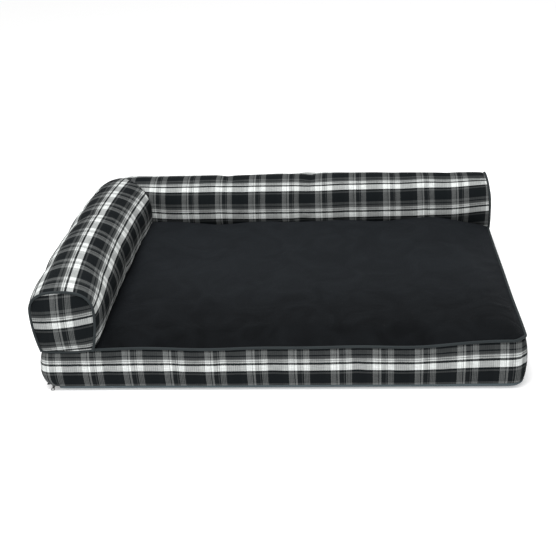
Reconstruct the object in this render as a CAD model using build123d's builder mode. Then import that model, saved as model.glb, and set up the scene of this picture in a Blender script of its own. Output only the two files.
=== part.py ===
"""Pet cushion bed: a foam mattress in a zipped cover, with an L-shaped bolster along its left and back.

Units are millimetres. The origin is the centre of the mattress underside, with +X to the right,
+Y to the back and +Z up. The bed rests on the plane Z = 0.
"""
import os
from math import asin, cos, sin, sqrt

from build123d import *

# Mattress cover, outside sizes
bed_width = 914.0
bed_depth = 686.0
mattress_height = 88.0
corner_radius = 24.0
seam_height = 11.0  # height of the seam between the base panel and the boxing strips
base_inset = 18.0  # how far the flat underside stays inside the outline, where its edge rolls up
base_corner_radius = 10.0
cover_thickness = 2.0

# Crown of the sleeping surface, which rises only where no bolster stands
crown_height = 16.0
crown_edge_radius = 13.0
crown_corner_radius = 20.0
crown_margin = 7.0  # flat strip left between the crown and the piping or the bolsters

# Foam core
foam_ease = 3.0
foam_corner_radius = corner_radius - cover_thickness - foam_ease

# Piping cord
piping_diameter = 5.5
piping_inset = 1.5
piping_drop = 0.2

# Bolsters, a loaf section standing on the mattress with its outer foot on the mattress edge
bolster_height = 126.0
bolster_width = 146.0
bolster_base_width = 112.0
bolster_shoulder_height = 52.0
bolster_shoulder_radius = 45.0
bolster_top_radius = 58.0
bolster_wall = 2.0

# Zip under the left edge
zip_rebate_width = 27.0
tape_thickness = 0.8
tape_tail = 4.0  # tape beyond the stop at each end of the chain
chain_gap = 1.1  # open line between the two halves of the chain, which the slider's post runs in
coil_diameter = 1.8
slider_clearance = 0.3
slider_length = 11.0
slider_width = 8.4
slider_plate = 1.4
slider_corner_radius = 1.6
slider_lip = 0.7
post_thickness = 0.5
post_length = 3.0
arch_width = 1.8
arch_length = 7.0
arch_leg = 1.2
pull_bar = 1.2  # side of the square bar that the pull turns on
pull_length = 20.0
pull_thickness = 1.2
pull_width = 7.6
pull_window_width = 4.4
pull_window_length = 5.4
pull_neck_width = 4.6
pull_hole_diameter = 4.4
zip_end_margin = 12.0  # distance from the mattress's front or back edge to the stop there
stop_length = 2.4
stop_width = 4.6
stop_height = 1.2
stop_corner_radius = 0.5
foam_notch_clearance = 1.5

# Positions that follow from the sizes above
half_width = bed_width / 2
half_depth = bed_depth / 2
piping_radius = piping_diameter / 2
piping_level = mattress_height - piping_radius - piping_drop
left_axis_x = -half_width + bolster_base_width / 2 + 1.0
back_axis_y = half_depth - bolster_base_width / 2 - 1.0
open_left = left_axis_x + bolster_base_width / 2 + crown_margin
open_right = half_width - piping_inset - piping_radius - crown_margin
open_front = -half_depth + piping_inset + piping_radius + crown_margin
open_back = back_axis_y - bolster_base_width / 2 - crown_margin
crown_width = open_right - open_left
crown_depth = open_back - open_front
crown_centre = ((open_left + open_right) / 2, (open_front + open_back) / 2)
foam_inset = cover_thickness + foam_ease

rebate_inner_x = -half_width + zip_rebate_width
zip_x = -half_width + zip_rebate_width / 2
tape_level = seam_height - tape_thickness
coil_bottom = tape_level - coil_diameter
coil_level = tape_level - coil_diameter / 2
lower_plate_top = coil_bottom - slider_clearance
lower_plate_bottom = lower_plate_top - slider_plate
upper_plate_bottom = seam_height + slider_clearance
upper_plate_top = upper_plate_bottom + slider_plate
foam_notch_top = upper_plate_top + foam_notch_clearance
arch_window = sqrt(2) * pull_bar + 2 * slider_clearance
hinge_z = lower_plate_bottom - arch_window / 2
arch_bottom = lower_plate_bottom - arch_window - arch_leg
front_stop_y = -half_depth + zip_end_margin
back_stop_y = half_depth - zip_end_margin
slider_y = front_stop_y + stop_length + slider_clearance + slider_length / 2
pull_tilt = asin((hinge_z - pull_thickness / 2 - slider_clearance) / pull_length)

mitre = Plane(origin=(left_axis_x, back_axis_y, 0), z_dir=(1, 1, 0))
front_end = Plane(origin=(left_axis_x, -half_depth, mattress_height), x_dir=(1, 0, 0), z_dir=(0, -1, 0))
right_end = Plane(origin=(half_width, back_axis_y, mattress_height), x_dir=(0, 1, 0), z_dir=(1, 0, 0))


def mattress_outline(inset):
    """The mattress's plan outline, drawn inside its edge by the inset."""
    return RectangleRounded(bed_width - 2 * inset, bed_depth - 2 * inset, corner_radius - inset)


def foam_outline():
    """The foam's plan outline, with its ease inside the cover."""
    return RectangleRounded(bed_width - 2 * foam_inset, bed_depth - 2 * foam_inset, foam_corner_radius)


def base_outline(inset):
    """The flat underside's plan outline, where the base panel starts to roll up."""
    reach = base_inset + inset
    return RectangleRounded(bed_width - 2 * reach, bed_depth - 2 * reach, base_corner_radius)


def crown_outline(inset):
    """The plan outline of the crowned area between the bolsters and the piping."""
    with Locations(crown_centre):
        return RectangleRounded(crown_width - 2 * inset, crown_depth - 2 * inset, crown_corner_radius - inset)


def bolster_arch():
    """The bolster's section without its flat foot, from one foot corner over the top to the other."""
    foot = bolster_base_width / 2
    side = bolster_width / 2
    return FilletPolyline(
        (-foot, 0),
        (-side, bolster_shoulder_height),
        (-side, bolster_height),
        (side, bolster_height),
        (side, bolster_shoulder_height),
        (foot, 0),
        radius=[bolster_shoulder_radius, bolster_top_radius, bolster_top_radius, bolster_shoulder_radius],
    )


def bolster_section(wall):
    """The bolster's loaf section as a flat sketch, drawn inside its outside by the wall."""
    with BuildSketch(Plane.XY, mode=Mode.PRIVATE) as section:
        with BuildLine():
            bolster_arch()
            Line((bolster_base_width / 2, 0), (-bolster_base_width / 2, 0))
        make_face()
        if wall > 0:
            offset(amount=-wall, mode=Mode.REPLACE)
    return section.sketch_local


def finish(piece, name):
    """Labels a finished piece and writes its STEP file."""
    piece.part.label = name
    export_step(piece.part, f"parts/{name}.step")


os.makedirs("parts", exist_ok=True)

# Top piping: a closed cord in the seam between the sleep panel and the boxing
piping_loop = Plane.XY.offset(piping_level) * mattress_outline(piping_inset)
piping_path = piping_loop.face().outer_wire()
with BuildPart() as top_piping:
    with BuildSketch(Plane(origin=piping_path @ 0, z_dir=piping_path % 0)):
        Circle(piping_radius)
    sweep(path=piping_path)
finish(top_piping, "top_piping")

# Foam core: rolled up at its foot, crowned where the sleeping surface is open, notched over the zip
with BuildPart() as foam_slab:
    with BuildSketch(Plane.XY.offset(cover_thickness)):
        base_outline(foam_inset)
    with BuildSketch(Plane.XY.offset(seam_height)):
        foam_outline()
    loft()
    with BuildSketch(Plane.XY.offset(seam_height)):
        foam_outline()
    extrude(amount=mattress_height - cover_thickness - seam_height)
    with BuildSketch(Plane.XY.offset(mattress_height - cover_thickness)):
        crown_outline(cover_thickness)
    extrude(amount=crown_height)
    fillet(faces().sort_by(Axis.Z)[-1].edges(), radius=crown_edge_radius - cover_thickness)
    with BuildSketch():
        with Locations((-half_width, 0)):
            Rectangle(2 * (zip_rebate_width + cover_thickness + foam_ease), bed_depth)
    extrude(amount=foam_notch_top, mode=Mode.SUBTRACT)
finish(foam_slab, "foam_slab")

# Sleep panel: the plush top, one sheet that follows the crown
with BuildPart() as sleep_panel:
    with BuildSketch(Plane.XY.offset(mattress_height - cover_thickness)):
        mattress_outline(0)
    extrude(amount=cover_thickness)
    with BuildSketch(Plane.XY.offset(mattress_height)):
        crown_outline(0)
    extrude(amount=crown_height)
    fillet(faces().sort_by(Axis.Z)[-1].edges(), radius=crown_edge_radius)
    add(foam_slab.part, mode=Mode.SUBTRACT)
    add(top_piping.part, mode=Mode.SUBTRACT)
finish(sleep_panel, "sleep_panel")

# Base panel: the canvas underside, a shallow tray that stops short of the left edge to make room for the zip
with BuildPart() as base_panel:
    with BuildSketch():
        base_outline(0)
    with BuildSketch(Plane.XY.offset(seam_height)):
        mattress_outline(0)
    loft()
    with BuildSketch(Plane.XY.offset(cover_thickness)):
        base_outline(cover_thickness)
    with BuildSketch(Plane.XY.offset(seam_height)):
        mattress_outline(cover_thickness)
    loft(mode=Mode.SUBTRACT)
    with BuildSketch():
        with Locations((-half_width, 0)):
            Rectangle(2 * zip_rebate_width, bed_depth)
    extrude(amount=seam_height, mode=Mode.SUBTRACT)
    with BuildSketch():
        with Locations((rebate_inner_x + cover_thickness / 2, 0)):
            Rectangle(cover_thickness, bed_depth - 2 * base_inset)
    extrude(amount=tape_level)
finish(base_panel, "base_panel")

# Boxing: the plaid side wall, one strip along each side, with upright seams at the corners
corner_cut_x = half_width - corner_radius
corner_cut_y = half_depth - corner_radius
reach = corner_radius * 3
boxing_sides = {
    "front_boxing": [(-corner_cut_x, -corner_cut_y), (corner_cut_x, -corner_cut_y), (1, -1), (-1, -1)],
    "right_boxing": [(corner_cut_x, -corner_cut_y), (corner_cut_x, corner_cut_y), (1, 1), (1, -1)],
    "back_boxing": [(corner_cut_x, corner_cut_y), (-corner_cut_x, corner_cut_y), (-1, 1), (1, 1)],
    "left_boxing": [(-corner_cut_x, corner_cut_y), (-corner_cut_x, -corner_cut_y), (-1, -1), (-1, 1)],
}
for name, (start, end, end_turn, start_turn) in boxing_sides.items():
    with BuildPart() as strip:
        with BuildSketch(Plane.XY.offset(seam_height)):
            mattress_outline(0)
            offset(amount=-cover_thickness, mode=Mode.SUBTRACT)
            with BuildLine():
                Polyline(
                    start,
                    end,
                    (end[0] + end_turn[0] * reach, end[1] + end_turn[1] * reach),
                    (start[0] + start_turn[0] * reach, start[1] + start_turn[1] * reach),
                    close=True,
                )
            make_face(mode=Mode.INTERSECT)
        extrude(amount=mattress_height - cover_thickness - seam_height)
        add(top_piping.part, mode=Mode.SUBTRACT)
    finish(strip, name)

# Bolsters: a plaid tube round a fibre fill, mitred where the two meet, with a piped cap on its free end
bolsters = {
    "left_bolster": (front_end, bed_depth + bolster_width, Keep.BOTTOM),
    "back_bolster": (right_end, bed_width + bolster_width, Keep.TOP),
}
outer_section = bolster_section(0)
inner_section = bolster_section(bolster_wall)
for name, (end_plane, run, kept_side) in bolsters.items():
    cap_front = end_plane.offset(-piping_radius + bolster_wall / 2)
    cap_back = end_plane.offset(-piping_radius - bolster_wall / 2)

    with BuildPart() as cap_piping:
        with BuildLine(end_plane.offset(-piping_radius)) as arch:
            bolster_arch()
        arch_path = arch.wire()
        with BuildSketch(Plane(origin=arch_path @ 0, z_dir=arch_path % 0)):
            Circle(piping_radius)
        sweep(path=arch_path)
        with BuildSketch(Plane.XY.offset(mattress_height)):
            Rectangle(2 * bed_width, 2 * bed_depth)
        extrude(amount=bed_width, mode=Mode.INTERSECT)
    finish(cap_piping, f"{name}_cap_piping")

    with BuildPart() as end_cap:
        with BuildSketch(cap_front):
            add(outer_section)
        extrude(amount=-bolster_wall)
        add(cap_piping.part, mode=Mode.SUBTRACT)
    finish(end_cap, f"{name}_end_cap")

    with BuildPart() as fill:
        with BuildSketch(cap_back):
            add(inner_section)
        extrude(amount=-run)
        split(bisect_by=mitre, keep=kept_side)
        add(cap_piping.part, mode=Mode.SUBTRACT)
    finish(fill, f"{name}_fill")

    with BuildPart() as cover:
        with BuildSketch(cap_back):
            add(outer_section)
        extrude(amount=-run)
        split(bisect_by=mitre, keep=kept_side)
        add(fill.part, mode=Mode.SUBTRACT)
        add(cap_piping.part, mode=Mode.SUBTRACT)
    finish(cover, f"{name}_cover")

# Zip chain: a tape and a coil on each side of the parting line, under the left edge
chain_length = back_stop_y - front_stop_y
tape_length = chain_length + 2 * tape_tail
tape_edges = {"outer": -half_width, "inner": rebate_inner_x + cover_thickness}
for half, edge_x in tape_edges.items():
    toward_edge = -1 if edge_x < zip_x else 1
    parting_x = zip_x + toward_edge * chain_gap / 2
    coil_x = parting_x + toward_edge * coil_diameter / 2

    with BuildPart() as tape:
        with BuildSketch(Plane.XY.offset(tape_level)):
            mattress_outline(cover_thickness)
            with Locations(((edge_x + parting_x) / 2, 0)):
                Rectangle(abs(edge_x - parting_x), tape_length, mode=Mode.INTERSECT)
        extrude(amount=tape_thickness)
    with BuildPart() as coil:
        with BuildSketch(Plane.XZ.offset(-front_stop_y)):
            with Locations((coil_x, coil_level)):
                Circle(coil_diameter / 2)
        extrude(amount=-chain_length)
    finish(tape, f"zip_{half}_tape")
    finish(coil, f"zip_{half}_coil")

# Stops: a crimped block below the coils at each end of the chain
stop_places = {"front": front_stop_y + stop_length / 2, "back": back_stop_y - stop_length / 2}
for end, stop_y in stop_places.items():
    with BuildPart() as stop:
        with BuildSketch(Plane.XY.offset(coil_bottom)):
            with Locations((zip_x, stop_y)):
                RectangleRounded(stop_width, stop_length, stop_corner_radius)
        extrude(amount=-stop_height)
    finish(stop, f"zip_{end}_stop")

# Slider: two plates joined by a post in the parting line, with an arch below that holds the pull
with BuildPart() as zip_slider:
    with BuildSketch(Plane.XY.offset(upper_plate_bottom)):
        with Locations((zip_x, slider_y)):
            RectangleRounded(slider_width, slider_length, slider_corner_radius)
    extrude(amount=slider_plate)
    with BuildSketch(Plane.XY.offset(lower_plate_bottom)):
        with Locations((zip_x, slider_y)):
            RectangleRounded(slider_width, slider_length, slider_corner_radius)
    extrude(amount=slider_plate)
    with BuildSketch(Plane.XY.offset(lower_plate_top)):
        with Locations((zip_x, slider_y)):
            with GridLocations(slider_width - slider_lip, 0, 2, 1):
                Rectangle(slider_lip, slider_length - 2 * slider_corner_radius)
    extrude(amount=coil_diameter)
    with BuildSketch(Plane.XY.offset(lower_plate_top)):
        with Locations((zip_x, slider_y - (slider_length - post_length) / 2)):
            Rectangle(post_thickness, post_length)
    extrude(amount=upper_plate_bottom - lower_plate_top)
    with BuildSketch(Plane.YZ.offset(zip_x)):
        with Locations((slider_y, (lower_plate_bottom + arch_bottom) / 2)):
            Rectangle(arch_length, lower_plate_bottom - arch_bottom)
        with Locations((slider_y, hinge_z)):
            Rectangle(arch_length - 2 * arch_leg, arch_window, mode=Mode.SUBTRACT)
    extrude(amount=arch_width / 2, both=True)
finish(zip_slider, "zip_slider")

# Pull: a bar through the slider's arch, two arms, a neck and a ring, lying forward on the floor
pull_plane = Plane(origin=(zip_x, slider_y, hinge_z), x_dir=(1, 0, 0), z_dir=(0, sin(pull_tilt), -cos(pull_tilt)))
ring_radius = pull_width / 2
ring_centre_y = pull_length - ring_radius
with BuildPart() as zip_pull:
    with BuildSketch(pull_plane):
        with Locations((0, (pull_bar + pull_window_length) / 2)):
            Rectangle(pull_width, pull_window_length + 2 * pull_bar)
            Rectangle(pull_window_width, pull_window_length, mode=Mode.SUBTRACT)
        with Locations((0, (pull_window_length + pull_bar + ring_centre_y) / 2)):
            Rectangle(pull_neck_width, ring_centre_y - pull_window_length - pull_bar)
        with Locations((0, ring_centre_y)):
            Circle(ring_radius)
            Circle(pull_hole_diameter / 2, mode=Mode.SUBTRACT)
    extrude(amount=pull_thickness / 2, both=True)
finish(zip_pull, "zip_pull")
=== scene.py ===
"""The looks of a pet cushion bed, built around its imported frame.

The bed is a foam mattress in a tartan cover with a black plush top. A stuffed bolster of the same
tartan runs along its left and back edges, and a zip runs under its left edge. Lengths are metres.
"""
import math

import bpy
import numpy as np
from mathutils import Matrix, Vector


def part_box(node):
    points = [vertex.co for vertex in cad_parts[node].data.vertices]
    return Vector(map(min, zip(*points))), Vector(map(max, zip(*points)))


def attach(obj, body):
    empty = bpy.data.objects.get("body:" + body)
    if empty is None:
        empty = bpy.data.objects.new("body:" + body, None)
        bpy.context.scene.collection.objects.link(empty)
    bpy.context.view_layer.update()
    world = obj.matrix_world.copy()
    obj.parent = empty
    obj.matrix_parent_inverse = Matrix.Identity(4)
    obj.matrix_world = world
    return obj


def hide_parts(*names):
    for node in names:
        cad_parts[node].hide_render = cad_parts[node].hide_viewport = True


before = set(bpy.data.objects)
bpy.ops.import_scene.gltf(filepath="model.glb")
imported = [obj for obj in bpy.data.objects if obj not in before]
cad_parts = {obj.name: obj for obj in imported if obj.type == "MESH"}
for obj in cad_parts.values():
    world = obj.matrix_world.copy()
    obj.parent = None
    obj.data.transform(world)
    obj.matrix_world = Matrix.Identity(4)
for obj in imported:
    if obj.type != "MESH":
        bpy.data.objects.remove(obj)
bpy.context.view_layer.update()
scene = bpy.context.scene


# Camera, light and floor
# A studio set to show the bed in: a pale paper floor, a white surround and two big soft boxes.
# Nothing here belongs to the bed.
class Wire:
    """One output socket of a node. Arithmetic on it adds Math nodes to the same tree."""

    def __init__(self, graph, socket):
        self.graph = graph
        self.socket = socket

    def calc(self, operation, *values):
        return self.graph.node("ShaderNodeMath", {"operation": operation}, dict(enumerate(values)))

    def fract(self):
        return self.calc("FRACT", self)

    def sine(self):
        return self.calc("SINE", self)

    def __add__(self, other):
        return self.calc("ADD", self, other)

    def __sub__(self, other):
        return self.calc("SUBTRACT", self, other)

    def __rsub__(self, other):
        return self.calc("SUBTRACT", other, self)

    def __mul__(self, other):
        return self.calc("MULTIPLY", self, other)

    def __truediv__(self, other):
        return self.calc("DIVIDE", self, other)

    def __rtruediv__(self, other):
        return self.calc("DIVIDE", other, self)

    __radd__ = __add__
    __rmul__ = __mul__


class Graph:
    """A node tree that is built by calling node()."""

    def __init__(self, tree):
        self.tree = tree
        tree.nodes.clear()

    def node(self, kind, settings=None, sockets=None, output=0):
        """Adds a node. Its settings are made first, and then its sockets get values or Wires."""
        made = self.tree.nodes.new(kind)
        for name, value in (settings or {}).items():
            if name == "stops":
                set_stops(made.color_ramp, *value)
            else:
                setattr(made, name, value)
        for name, value in (sockets or {}).items():
            if isinstance(value, Wire):
                self.tree.links.new(value.socket, made.inputs[name])
            else:
                made.inputs[name].default_value = value
        return Wire(self, made.outputs[output]) if made.outputs else None


def set_stops(ramp, interpolation, stops):
    """Gives a colour ramp these (place, grey level) stops."""
    ramp.interpolation = interpolation
    while len(ramp.elements) > 1:
        ramp.elements.remove(ramp.elements[-1])
    for count, (place, level) in enumerate(stops):
        element = ramp.elements[0] if count == 0 else ramp.elements.new(place)
        element.position = place
        element.color = (level, level, level, 1)


def new_finish(name):
    """An empty material and the graph of its nodes."""
    material = bpy.data.materials.new(name)
    material.use_nodes = True
    return material, Graph(material.node_tree)


def close_finish(graph, sockets):
    """Ends a material in a Principled shader with these sockets."""
    shader = graph.node("ShaderNodeBsdfPrincipled", {}, sockets)
    graph.node("ShaderNodeOutputMaterial", {}, {"Surface": shader})


camera_place = (0.1437, -1.9733, 0.9849)
heading, dip, roll = math.radians(4.94), math.radians(24.65), math.radians(-2.82)
lens_data = bpy.data.cameras.new("camera")
lens_data.sensor_width = 36
lens_data.lens = 64.94
camera = bpy.data.objects.new("camera", lens_data)
turn = Matrix.Rotation(heading, 4, "Z") @ Matrix.Rotation(math.pi / 2 - dip, 4, "X")
camera.matrix_world = Matrix.Translation(camera_place) @ turn @ Matrix.Rotation(roll, 4, "Z")
scene.collection.objects.link(camera)
scene.camera = camera
scene.view_settings.view_transform = "Standard"


def soft_box(name, place, aim, size, power):
    """A square area light of a soft box's size that points at the aim."""
    data = bpy.data.lights.new(name, "AREA")
    data.size = size
    data.energy = power
    lamp = bpy.data.objects.new(name, data)
    direction = Vector(aim) - Vector(place)
    aimed = direction.to_track_quat("-Z", "Y").to_matrix().to_4x4()
    lamp.matrix_world = Matrix.Translation(place) @ aimed
    scene.collection.objects.link(lamp)


soft_box("key_light", place=(-0.3, -0.55, 1.9), aim=(0, 0.3, 0.1), size=1.4, power=40)
soft_box("fill_light", place=(0.8, -2.6, 1.9), aim=(0, 0, 0.1), size=1.6, power=7)
world = bpy.data.worlds.new("surround")
scene.world = world
world.use_nodes = True
surround = world.node_tree.nodes["Background"]
surround.inputs["Color"].default_value = (1, 1, 1, 1)
surround.inputs["Strength"].default_value = 0.7

paper, graph = new_finish("pale_paper")
speck = graph.node("ShaderNodeTexNoise", {}, {"Scale": 90.0, "Detail": 3.0})
close_finish(graph, {
    "Base Color": (0.93, 0.93, 0.93, 1), "Roughness": speck * 0.1 + 0.85, "Specular IOR Level": 0.0,
    "Emission Color": (1, 1, 1, 1), "Emission Strength": 0.3})
floor_half = 12.0
floor_mesh = bpy.data.meshes.new("floor")
floor_mesh.from_pydata([(-floor_half, -floor_half, 0), (floor_half, -floor_half, 0),
                        (floor_half, floor_half, 0), (-floor_half, floor_half, 0)], [], [(0, 1, 2, 3)])
floor_mesh.materials.append(paper)
floor = bpy.data.objects.new("floor", floor_mesh)
scene.collection.objects.link(floor)


# Mattress cover
# One bag sewn from a plush top, a tartan boxing strip and a canvas base, pulled tight over the foam.
# The top and the strip are shaped together, as one closed bag, and blown up by cloth simulation.
sleep_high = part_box("sleep_panel")[1]
base_low, base_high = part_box("base_panel")
piping_low, piping_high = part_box("top_piping")
left_low, left_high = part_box("left_bolster_cover")
half_width = sleep_high.x
half_depth = sleep_high.y
piping_radius = (piping_high.z - piping_low.z) / 2
piping_level = piping_high.z - piping_radius
bolster_level = left_low.z
seam_level = base_high.z
piping_inset = 0.0015
corner_radius = 0.024
plan_radii = (0.013, 0.024)  # the corners on the left, and the corners on the right
cloth_step = 0.0115


def ruled(low, high, corner, step):
    """Even grid lines from low to high, with three narrower spaces in the corner at each end."""
    spaces = max(2, round((high - low - 2 * corner) / step))
    inner = np.linspace(low + corner, high - corner, spaces + 1)
    ends = np.linspace(0, corner, 4)[:-1]
    return np.concatenate([low + ends, inner, (high - ends)[::-1]])


def plan_grid(low, high, radii, step):
    """Points of a rectangle with rounded corners, as a grid of columns along X and rows along Y.

    radii holds the corner radius on the left and on the right.
    """
    columns = ruled(low[0], high[0], corner_radius, step)
    rows = ruled(low[1], high[1], corner_radius, step)
    x, y = np.meshgrid(columns, rows, indexing="ij")
    for side, radius in zip((-1, 1), radii):
        edge_x = (low[0], high[0])[side > 0]
        for end in (-1, 1):
            edge_y = (low[1], high[1])[end > 0]
            across = 1 - (edge_x - x) * side / corner_radius
            along = 1 - (edge_y - y) * end / corner_radius
            inside = (across > 0) & (along > 0)
            round_x = across * np.sqrt(np.clip(1 - along**2 / 2, 0, 1))
            round_y = along * np.sqrt(np.clip(1 - across**2 / 2, 0, 1))
            share = radius / corner_radius
            x = np.where(inside, x + side * corner_radius * share * (round_x - across), x)
            y = np.where(inside, y + end * corner_radius * share * (round_y - along), y)
    return np.stack([x, y], axis=-1)


def ring_places(columns, rows):
    """Grid places along the edge of a grid, anticlockwise from its front left corner."""
    front = [(i, 0) for i in range(columns - 1)]
    right = [(columns - 1, j) for j in range(rows - 1)]
    back = [(i, rows - 1) for i in range(columns - 1, 0, -1)]
    left = [(0, j) for j in range(rows - 1, 0, -1)]
    return front + right + back + left


def eased(value, low, high):
    """0 below low, 1 above high, and a smooth change between."""
    share = np.clip((value - low) / (high - low), 0, 1)
    return share * share * (3 - 2 * share)


def rise(distance, width):
    """A quarter-round rise from 0 at an edge to 1 at the given width inside it."""
    near = np.clip(distance / width, 0, 1)
    return np.sqrt(1 - (1 - near) ** 2)


corner_lift = 0.011  # the front right corner stands up
lift_reach = (0.16, 0.2)
right_draw = 0.004  # the cover draws in towards its right edge
foam_waves = ((0.0012, 17, 2, 1), (0.001, 31, -9, 0), (0.0008, 0, 23, 2))  # height, turns in X and Y, start


def settle(points):
    """Lets points of the mattress sag and lift a little, as foam does that has been used."""
    x, y, z = points[..., 0], points[..., 1], points[..., 2]
    upper = np.clip(z / bolster_level, 0, 1.2)
    off_x = (x - half_width) / lift_reach[0]
    off_y = (y + half_depth) / lift_reach[1]
    waves = sum(height * np.sin(in_x * x + in_y * y + start) for height, in_x, in_y, start in foam_waves)
    settled = points.copy()
    settled[..., 0] = x - right_draw * eased(x, 0.1, half_width)
    settled[..., 2] = z + upper * (corner_lift * np.exp(-(off_x**2 + off_y**2)) + waves)
    return settled


top_plan = plan_grid((-half_width + piping_inset, -half_depth + piping_inset),
                     (half_width - piping_inset, half_depth - piping_inset), plan_radii, cloth_step)
columns, rows = top_plan.shape[:2]
ring = ring_places(columns, rows)
ring_count = len(ring)

crown_height = sleep_high.z - bolster_level
open_left = -0.378  # the open area stops where the bolsters stand
open_back = 0.262
shoulder_width = 0.026  # the crown is a quick rise inside the seam and a slow one to the middle
shoulder_share = 0.74
middle_widths = (0.3, 0.24)
middle_share = 0.3
foot_puff = 0.02  # the plush stands up along the foot of the back bolster
puff_from, puff_full = -0.05, 0.2
puff_end, puff_gone = 0.33, 0.45


def crown(x, y):
    """How far the sleeping surface stands above its piped edge."""
    from_side = np.minimum(x - open_left, half_width - x)
    from_end = np.minimum(y + half_depth, open_back - y)
    shoulder = rise(from_side, shoulder_width) * rise(from_end, shoulder_width)
    middle = rise(from_side, middle_widths[0]) * rise(from_end, middle_widths[1])
    puffed = foot_puff * (1 - eased(x, puff_end, puff_gone)) * eased(y, puff_from, puff_full)
    return crown_height * (shoulder_share * shoulder + middle_share * middle) + puffed * shoulder


def outward(line):
    """Unit vectors that point out of a closed anticlockwise line, in plan."""
    along = np.roll(line, -1, axis=0) - np.roll(line, 1, axis=0)
    out = np.stack([along[:, 1], -along[:, 0]], axis=-1)
    return out / np.linalg.norm(out, axis=1, keepdims=True)


boxing_rows = 9
boxing_bulge = 0.005
left_bulge = 0.004  # more bulge on the left side, above the zip
left_reach = 0.03
seam_pinch = 0.002  # less bulge at the upright corner seams
zip_tuck = 0.009  # the foot of the left side tucks in over the zip
tuck_reach = 0.04
corner_places = [0, columns - 1, columns + rows - 2, 2 * columns + rows - 3]
sleep_grid = np.dstack([top_plan, piping_level + crown(top_plan[..., 0], top_plan[..., 1])])
edge_line = np.array([top_plan[place] for place in ring])
seam_line = edge_line + outward(edge_line) * piping_inset
pinch = np.zeros((ring_count, 1))
pinch[corner_places] = seam_pinch
leftmost = 1 - eased(edge_line[:, :1], -half_width, -half_width + left_reach)
boxing_levels = []
for row in range(boxing_rows + 1):
    share = row / boxing_rows
    swell = (boxing_bulge - pinch) * math.sin(math.pi * share) ** 0.5
    swell = swell + left_bulge * leftmost * math.sin(math.pi * share ** 1.4)
    line = edge_line * (1 - share) + seam_line * share + outward(edge_line) * swell
    tucked = 1 - eased(line[:, 0], -half_width, -half_width + tuck_reach)
    line[:, 0] += zip_tuck * share ** 12 * tucked
    level = piping_level + (seam_level - piping_level) * share
    boxing_levels.append(np.column_stack([line, np.full(ring_count, level)]))


def quads(columns, rows, start=0):
    """Quads over a grid whose vertices are numbered row by row within each column."""
    faces = []
    for i in range(columns - 1):
        for j in range(rows - 1):
            here = start + i * rows + j
            beside = here + rows
            faces.append((here, beside, beside + 1, here + 1))
    return faces


def make_piece(name, points, faces, weave=None):
    """A mesh object from points and faces, with cloth coordinates in metres as its UV map."""
    mesh = bpy.data.meshes.new(name)
    mesh.from_pydata([tuple(point) for point in points], [], faces)
    mesh.polygons.foreach_set("use_smooth", [True] * len(mesh.polygons))
    if weave is not None:
        layer = mesh.uv_layers.new(name="weave")
        corners = np.array([loop.vertex_index for loop in mesh.loops])
        layer.data.foreach_set("uv", np.asarray(weave)[corners].ravel())
    piece = bpy.data.objects.new(name, mesh)
    scene.collection.objects.link(piece)
    return piece


def places_of(mesh):
    """A mesh's vertex positions as an array."""
    found = np.empty(len(mesh.vertices) * 3)
    mesh.vertices.foreach_get("co", found)
    return found.reshape(-1, 3)


sim_ticks = 20


def blow_up(piece, held, pressure, slack, reach):
    """Inflates a cloth bag. held is how firmly each vertex stays, and slack is the cloth's spare width.

    No vertex moves further than reach from where it started. Gives back the bag's points, and removes it.
    """
    before = places_of(piece.data)
    group = piece.vertex_groups.new(name="held")
    for vertex, weight in enumerate(held):
        group.add([vertex], float(weight), "REPLACE")
    cloth = piece.modifiers.new("cloth", "CLOTH")
    cloth.settings.quality = 6
    cloth.settings.mass = 0.25
    cloth.settings.tension_stiffness = 25
    cloth.settings.compression_stiffness = 25
    cloth.settings.shear_stiffness = 8
    cloth.settings.bending_stiffness = 0.6
    cloth.settings.use_pressure = True
    cloth.settings.uniform_pressure_force = pressure
    cloth.settings.shrink_min = -slack
    cloth.settings.vertex_group_mass = "held"
    cloth.settings.effector_weights.gravity = 0
    cloth.point_cache.frame_start = 1
    cloth.point_cache.frame_end = sim_ticks
    for tick in range(1, sim_ticks + 1):
        scene.frame_set(tick)
    blown = piece.evaluated_get(bpy.context.evaluated_depsgraph_get())
    moved = places_of(blown.data) - before
    length = np.linalg.norm(moved, axis=1, keepdims=True)
    bpy.data.objects.remove(piece)
    scene.frame_set(1)
    return before + moved * np.minimum(1, reach / np.maximum(length, 1e-9))


grid_points = sleep_grid.reshape(-1, 3)
grid_count = len(grid_points)
ring_at = [i * rows + j for i, j in ring]
lower_grid = np.dstack([top_plan, np.full((columns, rows), seam_level)])
bag_points = np.concatenate([grid_points, *boxing_levels[1:], lower_grid.reshape(-1, 3)])
level_starts = [grid_count + row * ring_count for row in range(boxing_rows)]
lower_start = grid_count + boxing_rows * ring_count


def level_vertex(row, around):
    """The bag's vertex number at a place round its edge, on a row counted down from the piping."""
    around %= ring_count
    return ring_at[around] if row == 0 else level_starts[row - 1] + around


top_faces = quads(columns, rows)
strip_faces = []
for row in range(boxing_rows):
    for around in range(ring_count):
        strip_faces.append((level_vertex(row, around), level_vertex(row + 1, around),
                            level_vertex(row + 1, around + 1), level_vertex(row, around + 1)))
lower_faces = [face[::-1] for face in quads(columns, rows, lower_start)]
rim_faces = []
for around in range(ring_count):
    after = (around + 1) % ring_count
    rim_faces.append((level_vertex(boxing_rows, around), lower_start + ring_at[around],
                      lower_start + ring_at[after], level_vertex(boxing_rows, after)))
bag_faces = top_faces + strip_faces + lower_faces + rim_faces

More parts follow.
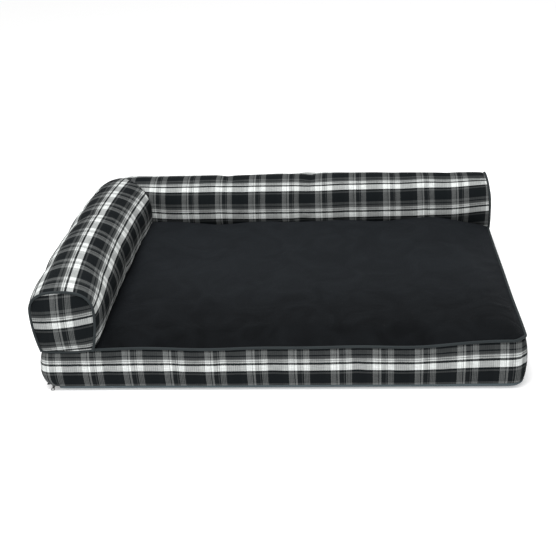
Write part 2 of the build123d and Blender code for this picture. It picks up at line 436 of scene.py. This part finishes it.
held = np.zeros(len(bag_points))
held[ring_at] = 1
held[level_starts[-1]:] = 1
for start in level_starts:
    held[[start + place for place in corner_places]] = 1
under_bolster = (grid_points[:, 0] < open_left) | (grid_points[:, 1] > open_back)
held[:grid_count][under_bolster] = 1
bag = make_piece("mattress_bag", settle(bag_points), bag_faces)
bag_places = blow_up(bag, held, pressure=3.5, slack=0.004, reach=0.006)


# Cloth finishes
# The tartan is a brushed twill in black, grey and white, and the top is a short black plush. The
# crosswise yarns of the tartan show more than its lengthwise ones. Cloth panels are cut and sewn here.
stripe_repeat = 0.0655  # the stripes and bands are given in turn, as (width, lightness), for one repeat
stripe_run = [(11.4, 1.0), (4.2, 0.02), (2.4, 0.85), (1.4, 0.3), (2.2, 0.75), (1.6, 0.2), (3.9, 0.1),
              (1.9, 0.0), (5.5, 0.09), (21.0, 0.0), (3.2, 0.08), (4.0, 0.0)]
band_repeat = 0.0785
band_run = [(1.5, 1.0), (1.0, 0.75), (1.5, 1.0), (1.0, 0.75), (1.5, 1.0), (1.0, 0.75), (1.5, 1.0),
            (1.9, 0.5), (3.4, 1.0), (5.6, 0.32), (1.9, 0.0), (1.9, 0.65), (2.2, 0.25), (1.5, 0.95),
            (1.2, 0.7), (1.5, 0.95), (1.2, 0.7), (1.5, 0.95), (1.2, 0.7), (1.5, 0.95), (1.9, 0.4),
            (25.0, 0.0), (10.0, 0.22)]
stripe_ragged = 0.0012
band_ragged = 0.0014
coarse_tick = 0.0039
fine_tick = 0.0031
twill_step = 0.0016


def run_stops(run):
    """Ramp stops for one repeat of (width, lightness) stripes."""
    total = sum(width for width, level in run)
    places = np.cumsum([0.0] + [width for width, level in run[:-1]]) / total
    return [(place, level) for place, (width, level) in zip(places, run)]


def blend(graph, share, dark, light):
    """A colour between dark and light."""
    ends = {0: share, 6: (*dark, 1), 7: (*light, 1)}
    return graph.node("ShaderNodeMix", {"data_type": "RGBA"}, ends, 2)


def tartan_finish():
    """Stripes along the cloth and bands across it, both ragged at their edges, over a twill."""
    material, graph = new_finish("tartan")
    flat = {"noise_dimensions": "2D"}
    weave = graph.node("ShaderNodeUVMap", {"uv_map": "weave"})
    lengthwise = graph.node("ShaderNodeSeparateXYZ", {}, {0: weave}, "X")
    crosswise = graph.node("ShaderNodeSeparateXYZ", {}, {0: weave}, "Y")
    wander = graph.node("ShaderNodeTexNoise", flat, {"Vector": weave, "Scale": 700.0}) - 0.5
    band_place = ((lengthwise + wander * band_ragged) / band_repeat).fract()
    stripe_place = ((crosswise + wander * stripe_ragged) / stripe_repeat).fract()
    band = graph.node("ShaderNodeValToRGB", {"stops": ("CONSTANT", run_stops(band_run))}, {0: band_place})
    stripe = graph.node("ShaderNodeValToRGB", {"stops": ("CONSTANT", run_stops(stripe_run))},
                        {0: stripe_place})

    turn = 2 * math.pi
    coarse_ticks = (lengthwise * (turn / coarse_tick)).sine()
    fine_ticks = (lengthwise * (turn / fine_tick) + 1.3).sine()
    ticks = 1.0 + (coarse_ticks + fine_ticks * 0.6) * 0.14
    twill = ((lengthwise + crosswise) * (turn / twill_step)).sine()
    fuzz = graph.node("ShaderNodeTexNoise", flat, {"Vector": weave, "Scale": 900.0, "Detail": 3.0})
    yarn = graph.node("ShaderNodeMapping", {}, {"Vector": weave, "Scale": (70.0, 430.0, 1.0)})
    slub = graph.node("ShaderNodeTexNoise", flat, {"Vector": yarn, "Scale": 1.0})
    woven = stripe * 0.35 * ticks + band * band * band * 0.1 + stripe * band * 0.34
    brushed = 0.93 + fuzz * 0.14 + twill * 0.03
    lightness = (0.76 + slub * 0.46) * woven * brushed
    thread = graph.node("ShaderNodeBump", {}, {
        "Height": twill * 0.5 + fuzz, "Strength": 0.35, "Distance": 0.0006})
    close_finish(graph, {
        "Base Color": blend(graph, lightness, (0.0062, 0.0078, 0.0088), (0.84, 0.87, 0.855)),
        "Roughness": 0.84 + fuzz * 0.12, "Normal": thread, "Specular IOR Level": 0.05})
    return material


def plush_finish():
    """A short black nap, brushed in patches, with painted shade at the front and painted light at the back.
    """
    material, graph = new_finish("black_plush")
    place = graph.node("ShaderNodeTexCoord", output="Object")
    nap = graph.node("ShaderNodeTexNoise", {}, {
        "Vector": place, "Scale": 13.0, "Detail": 6.0, "Distortion": 1.4})
    pile = graph.node("ShaderNodeTexNoise", {}, {"Vector": place, "Scale": 520.0, "Detail": 3.0})
    patches = graph.node("ShaderNodeValToRGB", {"stops": ("LINEAR", [(0.34, 0.0), (0.7, 1.0)])}, {0: nap})
    front_to_back = graph.node("ShaderNodeSeparateXYZ", {}, {0: place}, "Y")
    # lean is painted light and shade: it makes the plush colour darker at the front and lighter towards the
    # back.
    lean = graph.node("ShaderNodeMapRange", {"interpolation_type": "SMOOTHSTEP"}, {
        "Value": front_to_back, "From Min": -0.3, "From Max": 0.0, "To Min": -0.13, "To Max": 0.55})
    share = patches * 0.32 + pile * 0.3 + lean
    raised = graph.node("ShaderNodeBump", {}, {
        "Height": pile + patches * 1.6, "Strength": 0.5, "Distance": 0.0016})
    close_finish(graph, {
        "Base Color": blend(graph, share, (0.0018, 0.0022, 0.0027), (0.0102, 0.0119, 0.0138)),
        "Roughness": 0.72 + pile * 0.2, "Normal": raised, "Specular IOR Level": 0.06,
        "Sheen Weight": 0.02, "Sheen Roughness": 0.4, "Sheen Tint": (0.75, 0.85, 1.0, 1)})
    return material


tartan = tartan_finish()
plush = plush_finish()
cover_cloth = 0.0018
bolster_cloth = 0.0016


def apply_modifiers(piece):
    """Turns a piece's modifiers into plain mesh."""
    bpy.context.view_layer.update()
    made = bpy.data.meshes.new_from_object(piece.evaluated_get(bpy.context.evaluated_depsgraph_get()))
    piece.modifiers.clear()
    piece.data = made


def sew_panel(name, points, faces, weave, material, thickness, finer=True):
    """A cloth panel cut from a shaped surface, smoothed if finer, and thickened inwards."""
    used = sorted({vertex for face in faces for vertex in face})
    renumber = {vertex: place for place, vertex in enumerate(used)}
    cut = [tuple(renumber[vertex] for vertex in face) for face in faces]
    panel = make_piece(name, points[used], cut, np.asarray(weave)[used])
    panel.data.materials.append(material)
    if finer:
        smoothing = panel.modifiers.new("finer", "SUBSURF")
        smoothing.levels = 1
        smoothing.render_levels = 1
    solid = panel.modifiers.new("cloth thickness", "SOLIDIFY")
    solid.thickness = thickness
    solid.offset = -1
    solid.use_rim = True
    apply_modifiers(panel)
    return panel


# Sleep panel
# The black plush top of the mattress cover, one crowned sheet. It is sewn into the piped seam all
# round, and the bolsters stand on its left and back borders.
sleep_panel = sew_panel("plush_top", bag_places, top_faces, bag_places[:, :2], plush, cover_cloth)
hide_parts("sleep_panel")
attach(sleep_panel, "bed")


# Boxing
# The tartan side wall of the mattress cover, cut as four strips and joined by upright seams at the
# corners. The white stripe runs level all round, and the bands stand upright on it.
white_stripe_level = 0.0452
band_start = -0.147
steps_round = np.linalg.norm(np.diff(edge_line, axis=0), axis=1)
length_round = np.concatenate([[0], np.cumsum(steps_round)])
strip_weave = np.zeros((len(bag_points), 2))
for row in range(boxing_rows + 1):
    level = piping_level + (seam_level - piping_level) * row / boxing_rows
    for around in range(ring_count):
        strip_weave[level_vertex(row, around)] = (
            length_round[around] - half_width - band_start, level - white_stripe_level)
strip_ends = dict(zip(("front_boxing", "right_boxing", "back_boxing", "left_boxing"),
                      zip(corner_places, corner_places[1:] + [ring_count])))
for name, (start, end) in strip_ends.items():
    kept = [strip_faces[row * ring_count + around]
            for row in range(boxing_rows) for around in range(start, end)]
    strip = sew_panel(f"tartan_{name}", bag_places, kept, strip_weave, tartan, cover_cloth)
    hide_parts(name)
    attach(strip, "bed")


# Top piping
# A cord in a teal grey bias strip, sewn into the seam between the plush and the tartan. It is swept
# round the mattress by Geometry Nodes.
def plain_finish(name, dark, light, roughness, grain, metal=0.0):
    """A finish that wanders between two colours, with a fine grain in its surface."""
    material, graph = new_finish(name)
    place = graph.node("ShaderNodeTexCoord", output="Object")
    patches = graph.node("ShaderNodeTexNoise", {}, {"Vector": place, "Scale": 22.0, "Detail": 4.0})
    fine = graph.node("ShaderNodeTexNoise", {}, {"Vector": place, "Scale": grain, "Detail": 2.0})
    raised = graph.node("ShaderNodeBump", {}, {"Height": fine, "Strength": 0.3, "Distance": 0.0005})
    close_finish(graph, {
        "Base Color": blend(graph, patches * 0.6 + fine * 0.4, dark, light),
        "Roughness": roughness - 0.1 + fine * 0.2, "Metallic": metal, "Normal": raised})
    return material


class Rig(Graph):
    """A Geometry Nodes tree that changes one mesh. Its inputs are named and typed when it is made."""

    def __init__(self, name, inputs):
        super().__init__(bpy.data.node_groups.new(name, "GeometryNodeTree"))
        self.tree.interface.new_socket("Geometry", in_out="OUTPUT", socket_type="NodeSocketGeometry")
        self.tree.interface.new_socket("Geometry", in_out="INPUT", socket_type="NodeSocketGeometry")
        self.identifiers = {}
        for label, kind in inputs.items():
            made = self.tree.interface.new_socket(label, in_out="INPUT", socket_type=f"NodeSocket{kind}")
            self.identifiers[label] = made.identifier
        self.source = self.tree.nodes.new("NodeGroupInput")

    def given(self, label):
        """The Wire of one of the tree's inputs."""
        return Wire(self, self.source.outputs[label])

    def close(self, result):
        """Ends the tree in real mesh with the material of its Finish input."""
        real = self.node("GeometryNodeRealizeInstances", {}, {"Geometry": result})
        finished = self.node("GeometryNodeSetMaterial", {}, {
            "Geometry": real, "Material": self.given("Finish")})
        self.node("NodeGroupOutput", {}, {"Geometry": finished})

    def run(self, piece, values):
        """Changes the piece with these input values, and leaves it as plain mesh."""
        added = piece.modifiers.new(self.tree.name, "NODES")
        added.node_group = self.tree
        for label, value in values.items():
            added[self.identifiers[label]] = value
        apply_modifiers(piece)
        for polygon in piece.data.polygons:
            polygon.use_smooth = True


def path_piece(name, points, closed=False):
    """A mesh of edges along a path."""
    count = len(points)
    last = count if closed else count - 1
    mesh = bpy.data.meshes.new(name)
    mesh.from_pydata([tuple(point) for point in points], [(k, (k + 1) % count) for k in range(last)], [])
    piece = bpy.data.objects.new(name, mesh)
    scene.collection.objects.link(piece)
    return piece


cord_rig = Rig("cord_along_path", {"Radius": "Float", "Finish": "Material"})
cord_line = cord_rig.node("GeometryNodeMeshToCurve", {}, {"Mesh": cord_rig.given("Geometry")})
cord_ring = cord_rig.node("GeometryNodeCurvePrimitiveCircle", {}, {
    "Resolution": 14, "Radius": cord_rig.given("Radius")})
cord_rig.close(cord_rig.node("GeometryNodeCurveToMesh", {}, {
    "Curve": cord_line, "Profile Curve": cord_ring, "Fill Caps": True}))

bias_cloth = plain_finish("piping_cloth", (0.005, 0.008, 0.0095), (0.014, 0.021, 0.023), 0.9, 900.0)
seam_points = bag_places[ring_at]
halfway = (seam_points + np.roll(seam_points, -1, axis=0)) / 2
seam_path = np.stack([seam_points, halfway], axis=1).reshape(-1, 3)
top_piping = path_piece("top_piping_cord", seam_path, closed=True)
cord_rig.run(top_piping, {"Radius": piping_radius, "Finish": bias_cloth})
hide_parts("top_piping")
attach(top_piping, "bed")


# Foam slab
# The mattress core, a block of pale yellow foam cut to fill its cover, with a notch over the zip. It
# lies loose inside the cover.
foam_finish = plain_finish("yellow_foam", (0.72, 0.62, 0.38), (0.82, 0.73, 0.5), 0.95, 1500.0)
foam_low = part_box("foam_slab")[0]
foam_ease = 0.007
under_plush = 0.006
crown_share = 0.85
notch_height = 0.008
notch_ease = 0.006
rebate_inner = base_low.x
foam_plan = top_plan * np.array([(half_width - foam_ease) / half_width,
                                 (half_depth - foam_ease) / half_depth])
foam_rise = crown(top_plan[..., 0], top_plan[..., 1]) * crown_share
foam_top = np.dstack([foam_plan, piping_level - under_plush + foam_rise])
foam_bottom = np.dstack([foam_plan, np.full((columns, rows), foam_low.z)])
over_zip = foam_bottom[..., 0] < rebate_inner + notch_ease
foam_bottom[..., 2][over_zip] = seam_level + notch_height
foam_faces = top_faces + [tuple(grid_count + vertex for vertex in face[::-1]) for face in top_faces]
for around in range(ring_count):
    here, after = ring_at[around], ring_at[(around + 1) % ring_count]
    foam_faces.append((here, grid_count + here, grid_count + after, after))
foam_points = settle(np.concatenate([foam_top.reshape(-1, 3), foam_bottom.reshape(-1, 3)]))
foam = make_piece("foam_core", foam_points, foam_faces)
foam.data.materials.append(foam_finish)
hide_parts("foam_slab")
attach(foam, "bed")


# Base panel
# The underside, slate canvas, flat on the floor with its edge rolled up to the boxing seam. It stops
# short of the left edge, where an upright fold makes room for the zip.
canvas = plain_finish("slate_canvas", (0.035, 0.052, 0.06), (0.065, 0.09, 0.1), 0.85, 1100.0)
fold_radius = 0.004
base_step = 0.02
base_inset = 0.018
roll_steps = 5
base_plan = plan_grid((rebate_inner, -half_depth), (half_width, half_depth),
                      (fold_radius, corner_radius), base_step)
base_columns, base_rows = base_plan.shape[:2]
base_ring = ring_places(base_columns, base_rows)
base_span = half_width - rebate_inner
base_levels = []
for step in range(roll_steps + 1):
    rolled = math.pi / 2 * step / roll_steps
    inset = base_inset * (1 - math.sin(rolled))
    base_x = rebate_inner + (base_plan[..., 0] - rebate_inner) * (base_span - inset) / base_span
    base_y = base_plan[..., 1] * (half_depth - inset) / half_depth
    base_z = np.full((base_columns, base_rows), seam_level * (1 - math.cos(rolled)))
    base_levels.append(np.dstack([base_x, base_y, base_z]))
base_points = list(base_levels[0].reshape(-1, 3))
base_faces = [face[::-1] for face in quads(base_columns, base_rows)]
lower_line = [i * base_rows + j for i, j in base_ring]
for level in base_levels[1:]:
    start = len(base_points)
    base_points += [level[place] for place in base_ring]
    for around in range(len(base_ring)):
        after = (around + 1) % len(base_ring)
        base_faces.append((lower_line[around], lower_line[after], start + after, start + around))
    lower_line = list(range(start, start + len(base_ring)))
base_points = settle(np.array(base_points))
base_panel = sew_panel("canvas_base", base_points, base_faces, base_points[:, :2], canvas, cover_cloth,
                       finer=False)
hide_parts("base_panel")
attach(base_panel, "bed")


# Bolster covers
# Two stuffed tartan tubes of a loaf section, joined by a mitred seam at the back left corner. Each one
# is shaped as a closed bag and blown up by cloth simulation, so its cloth draws in at the seams.
left_axis = -0.400
back_axis = 0.286
back_end = half_width - 0.004
bolster_height = left_high.z - left_low.z
section_count = 41
over_top = slice(8, 33)  # the places of a section that lie over its top
under_count = 5
cap_zone = 0.04  # closer stations near the free end and near the mitre, as shares of the run
mitre_zone = 0.94
end_width_draw = 0.0018  # the seam at the free end draws the section in
end_height_draw = 0.003
mitre_pinch = 0.1
free_end_lean = 0.006
ridge_front = -0.382  # a white stripe runs along the top of the left bolster, through these X
ridge_back = -0.404
ridge_bow = 0.012
ridge_to_stripe = 0.0057
shoulder_to_stripe = 0.021


def loaf(half, height, foot, shoulder, power):
    """Points of a loaf section from its inner foot, over the top, to its outer foot, evenly spaced.

    Gives the points, as (across, up), and how far along the cloth each one lies.
    """
    rising = np.linspace(0, 1, 30)[:-1]
    side = np.column_stack([half - (half - foot) * (1 - rising) ** 2, shoulder * rising])
    lean = np.linspace(0, math.pi, 121)
    over_across = np.sign(np.cos(lean)) * half * np.abs(np.cos(lean)) ** (2 / power)
    over_up = shoulder + (height - shoulder) * np.abs(np.sin(lean)) ** (2 / power)
    outline = np.concatenate([side, np.column_stack([over_across, over_up]), side[::-1] * [-1, 1]])
    run = np.concatenate([[0], np.cumsum(np.linalg.norm(np.diff(outline, axis=0), axis=1))])
    even = np.linspace(0, run[-1], section_count)
    return np.column_stack([np.interp(even, run, outline[:, axis]) for axis in (0, 1)]), even


def tube_faces(count, around, turned):
    """Quads over the stations of a bolster's tube. turned is for the back bolster, which runs along -X."""
    faces = []
    for i in range(count - 1):
        for j in range(around):
            here = i * around + j
            beside = i * around + (j + 1) % around
            face = (here, here + around, beside + around, beside)
            faces.append(face[::-1] if turned else face)
    return faces


def end_faces(count, around, turned):
    """The flat face at each end of a bolster's tube."""
    first = tuple(range(around))
    last = tuple(range((count - 1) * around, count * around))
    return [first[::-1], last] if turned else [first, last[::-1]]


def build_bolster(name, start, axis, turned, sizes):
    """A bolster as a closed bag, blown up. Gives its points as (station, place round, xyz), and its weave.

    start is where its free end stands along its run, and sizes gives the section at a share of the run.
    The run ends in the mitre.
    """
    stations = np.concatenate([np.linspace(0, cap_zone, 5)[:-1], np.linspace(cap_zone, mitre_zone, 56)[:-1],
                               np.linspace(mitre_zone, 1, 6)])
    points = []
    weave = []
    for share in stations:
        size = sizes(share)
        drawn = math.exp(-share / 0.012)
        section, even = loaf(size["half"] - end_width_draw * drawn,
                             size["height"] - end_height_draw * drawn,
                             size["foot"], size["shoulder"], size["power"])
        inner_side = np.where(section[:, 0] < 0, 1 - mitre_pinch * size["pinch"], 1.0)
        across = section[:, 0] * inner_side
        under = np.linspace(across[-1], across[0], under_count + 2)[1:-1]
        across = np.concatenate([across, under])
        up = np.concatenate([section[:, 1], np.zeros(under_count)])
        if turned:
            mitre = left_axis + across
            lean = free_end_lean * (up / size["height"]) ** 2 * (1 - share) ** 6
            along = start + (mitre - start) * share - lean
            place = np.column_stack([along, axis - across - size["shift"], bolster_level + up])
            rising = section[:section_count // 2, 1]
            zero = np.interp(size["shoulder"], rising, even[:section_count // 2]) - shoulder_to_stripe
        else:
            mitre = back_axis - across
            along = start + (mitre - start) * share
            place = np.column_stack([axis + across + size["shift"], along, bolster_level + up])
            ridge = ridge_front + (ridge_back - ridge_front) * share
            ridge = ridge - ridge_bow * math.sin(math.pi * share) - axis - size["shift"]
            zero = np.interp(-ridge, -across[over_top], even[over_top]) - ridge_to_stripe
        cloth_round = np.concatenate([even, np.full(under_count, even[-1])])
        points.append(place)
        weave.append(np.column_stack([along, cloth_round - zero]))
    points = np.array(points)
    count, around = points.shape[:2]
    faces = tube_faces(count, around, turned) + end_faces(count, around, turned)
    held = np.zeros((count, around))
    held[0] = held[-1] = 1
    held[:, section_count - 1:] = 1
    held[:, 0] = 1
    bag = make_piece(name, points.reshape(-1, 3), faces)
    blown = blow_up(bag, held.ravel(), pressure=4.0, slack=0.003, reach=0.006)
    return blown.reshape(count, around, 3), np.array(weave)


def left_sizes(share):
    """The left bolster's section. It fills out behind its cap and slims again towards the mitre."""
    bulge = 1 - math.exp(-share / 0.035)  # just behind the cap
    full = 1 - max(0, 1 - share / 0.5) ** 2  # over the front half
    late = max(0, (share - 0.72) / 0.28) ** 2  # over the last quarter
    lumps = 0.0011 * math.sin(23 * share) + 0.0008 * math.sin(41 * share + 2)
    return {
        "half": 0.0622 + 0.007 * bulge + 0.007 * full - 0.009 * late + lumps * full,
        "height": bolster_height + 0.003 * full - 0.007 * late,
        "foot": 0.0495 + 0.0075 * bulge,
        "shoulder": 0.078 - 0.01 * full,
        "power": 2.6 - 0.35 * full,
        "shift": -0.0028 + 0.003 * bulge * (1 - full) - 0.0155 * full * (1 - late),
        "pinch": math.exp(-((1 - share) / 0.025) ** 2)}


def back_sizes(share):
    """The back bolster's section. It sags towards its free end, on the right."""
    full = eased(share, 0, 0.12)  # behind the cap
    pinch = math.exp(-((1 - share) / 0.025) ** 2)
    lumps = 0.001 * math.sin(29 * share) + 0.0009 * math.sin(53 * share + 1)
    return {
        "half": 0.064 + 0.003 * full - 0.003 * pinch + lumps * full,
        "height": bolster_height - 0.009 * (1 - eased(share, 0, 0.5)) - 0.004 * pinch,
        "foot": 0.046 + 0.004 * pinch,
        "shoulder": 0.07 - 0.003 * full,
        "power": 2.35 - 0.15 * full,
        "shift": 0.005 * full * (1 - eased(share, 0.9, 1)),
        "pinch": pinch}


left_points, left_weave = build_bolster("left_bag", -half_depth, left_axis, False, left_sizes)
back_points, back_weave = build_bolster("back_bag", back_end, back_axis, True, back_sizes)
meeting = (left_points[-1] + back_points[-1]) / 2
left_points[-1] = meeting
back_points[-1] = meeting
left_band_start = -0.250
back_band_start = -0.1065
bolsters = (("left", left_points, left_weave - [left_band_start, 0], False),
            ("back", back_points, back_weave - [back_band_start, 0], True))
around_bolster = section_count + under_count
for name, points, weave, turned in bolsters:
    faces = tube_faces(len(points), around_bolster, turned)
    cover = sew_panel(f"tartan_{name}_bolster", points.reshape(-1, 3), faces, weave.reshape(-1, 2),
                      tartan, bolster_cloth)
    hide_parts(f"{name}_bolster_cover")
    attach(cover, "bed")


# End caps
# The tartan panel that closes each bolster's free end, sewn to the tube all round and domed a little
# by the stuffing. On the left one the weave is cut slightly askew.
cap_rings = 9
cap_dome = 0.011
cap_stripe_level = 0.1425
cap_skew = 0.107
cap_band_starts = {"left": -0.4205, "back": -0.06}
outwards = {"left": np.array([0.0, -1.0, 0.0]), "back": np.array([1.0, 0.0, 0.0])}
for name, points, weave, turned in bolsters:
    end_ring = points[0]
    middle = (end_ring.min(axis=0) + end_ring.max(axis=0)) / 2
    cap_points = [middle + outwards[name] * cap_dome]
    for ring_number in range(1, cap_rings + 1):
        share = ring_number / cap_rings
        dome = cap_dome * (1 - share ** 2.2)
        cap_points += list(middle + (end_ring - middle) * share + outwards[name] * dome)
    cap_points = np.array(cap_points)
    cap_faces = []
    for here in range(around_bolster):
        after = (here + 1) % around_bolster
        cap_faces.append((0, 1 + here, 1 + after))
        for ring_number in range(cap_rings - 1):
            inner = 1 + ring_number * around_bolster
            outer = inner + around_bolster
            cap_faces.append((inner + here, outer + here, outer + after, inner + after))
    if turned:
        cap_faces = [face[::-1] for face in cap_faces]
        across = cap_points[:, 1]
        askew = 0.0
    else:
        across = cap_points[:, 0]
        askew = (cap_points[:, 0] - left_axis) * cap_skew
    cap_weave = np.column_stack([across - cap_band_starts[name],
                                 cap_points[:, 2] - cap_stripe_level - askew])
    cap = sew_panel(f"tartan_{name}_end_cap", cap_points, cap_faces, cap_weave, tartan, bolster_cloth)
    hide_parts(f"{name}_bolster_end_cap")
    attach(cap, "bed")


# Cap pipings
# The same teal grey cord, sewn into the seam of each end cap. It runs up one side of the cap, over the
# top and down the other.
cap_piping_share = 0.92
cap_piping_stand = 0.0008
for name, points, weave, turned in bolsters:
    arch = points[0, :section_count] + outwards[name] * cap_piping_stand
    cap_piping = path_piece(f"{name}_cap_piping_cord", arch)
    cord_rig.run(cap_piping, {"Radius": piping_radius * cap_piping_share, "Finish": bias_cloth})
    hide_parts(f"{name}_bolster_cap_piping")
    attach(cap_piping, "bed")


# Bolster fills
# The white fibre stuffing inside each bolster, packed in loose. It is the cover's own shape, shrunk to
# keep clear of the cloth.
fibre = plain_finish("white_fibre", (0.75, 0.75, 0.74), (0.88, 0.88, 0.87), 0.95, 700.0)
fill_share = 0.84
for name, points, weave, turned in bolsters:
    stuffed = points[2:-2]
    core = stuffed.mean(axis=1, keepdims=True)
    inner = core + (stuffed - core) * fill_share
    count = len(inner)
    faces = tube_faces(count, around_bolster, turned) + end_faces(count, around_bolster, turned)
    fill = make_piece(f"{name}_fibre_fill", inner.reshape(-1, 3), faces)
    fill.data.materials.append(fibre)
    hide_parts(f"{name}_bolster_fill")
    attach(fill, "bed")


# Zip tapes and coils
# Two black woven tapes sewn under the left edge, each with a nylon coil along its inner edge. The coil
# teeth are set along the tape by Geometry Nodes.
tape_cloth = plain_finish("black_tape", (0.012, 0.013, 0.015), (0.03, 0.032, 0.036), 0.8, 1600.0)
nylon = plain_finish("black_nylon", (0.01, 0.01, 0.011), (0.024, 0.025, 0.027), 0.35, 600.0)
tape_thickness = 0.0008
tape_ripple = 0.0002
tooth_spacing = 0.0016
tooth_width = 0.0012
first_tooth = 0.0006
last_tooth = 0.0014
tooth_offsets = {"outer": 0.0, "inner": tooth_spacing / 2}
teeth_rig = Rig("teeth_along_path", {"Spacing": "Float", "Size": "Vector", "Finish": "Material"})
teeth_line = teeth_rig.node("GeometryNodeMeshToCurve", {}, {"Mesh": teeth_rig.given("Geometry")})
teeth_line = teeth_rig.node("GeometryNodeResampleCurve", {"mode": "LENGTH"}, {
    "Curve": teeth_line, "Length": teeth_rig.given("Spacing")})
tangent = teeth_rig.node("GeometryNodeInputTangent")
facing = teeth_rig.node("FunctionNodeAlignRotationToVector", {"axis": "X"}, {"Vector": tangent})
tooth = teeth_rig.node("GeometryNodeMeshUVSphere", {}, {"Segments": 8, "Rings": 5, "Radius": 0.5})
teeth_rig.close(teeth_rig.node("GeometryNodeInstanceOnPoints", {}, {
    "Points": teeth_line, "Instance": tooth, "Rotation": facing, "Scale": teeth_rig.given("Size")}))
for half in ("outer", "inner"):
    tape_low, tape_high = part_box(f"zip_{half}_tape")
    lengths = np.linspace(tape_low.y, tape_high.y, 90)
    breadths = np.linspace(tape_low.x, tape_high.x, 5)
    y, x = np.meshgrid(lengths, breadths, indexing="ij")
    z = tape_low.z + tape_ripple * np.sin(70 * y + 30 * x)
    tape_points = np.stack([x, y, z], axis=-1).reshape(-1, 3)
    tape = sew_panel(f"{half}_tape_cloth", tape_points, quads(len(lengths), len(breadths)),
                     tape_points[:, :2], tape_cloth, tape_thickness, finer=False)
    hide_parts(f"zip_{half}_tape")
    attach(tape, "bed")

    coil_low, coil_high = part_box(f"zip_{half}_coil")
    coil_middle = (coil_low + coil_high) / 2
    coil_path = [(coil_middle.x, y + tooth_offsets[half], coil_middle.z)
                 for y in (coil_low.y + first_tooth, coil_high.y - last_tooth)]
    tooth_size = (tooth_width, coil_high.x - coil_low.x, coil_high.z - coil_low.z)
    coil = path_piece(f"{half}_coil_teeth", coil_path)
    teeth_rig.run(coil, {"Spacing": tooth_spacing, "Size": tooth_size, "Finish": nylon})
    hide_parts(f"zip_{half}_coil")
    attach(coil, "bed")


# Zip slider, pull and stops
# A black enamelled slider with a bright metal pull, and a crimped metal stop at each end of the chain.
# These are the frame's own parts, so only their finish is made here.
enamel = plain_finish("black_enamel", (0.008, 0.008, 0.009), (0.018, 0.018, 0.02), 0.3, 300.0)
bright = plain_finish("bright_metal", (0.5, 0.5, 0.5), (0.62, 0.62, 0.61), 0.35, 500.0, metal=1.0)
for name, finish in (("zip_slider", enamel), ("zip_pull", bright),
                     ("zip_front_stop", bright), ("zip_back_stop", bright)):
    for material_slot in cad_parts[name].material_slots:
        material_slot.material = finish
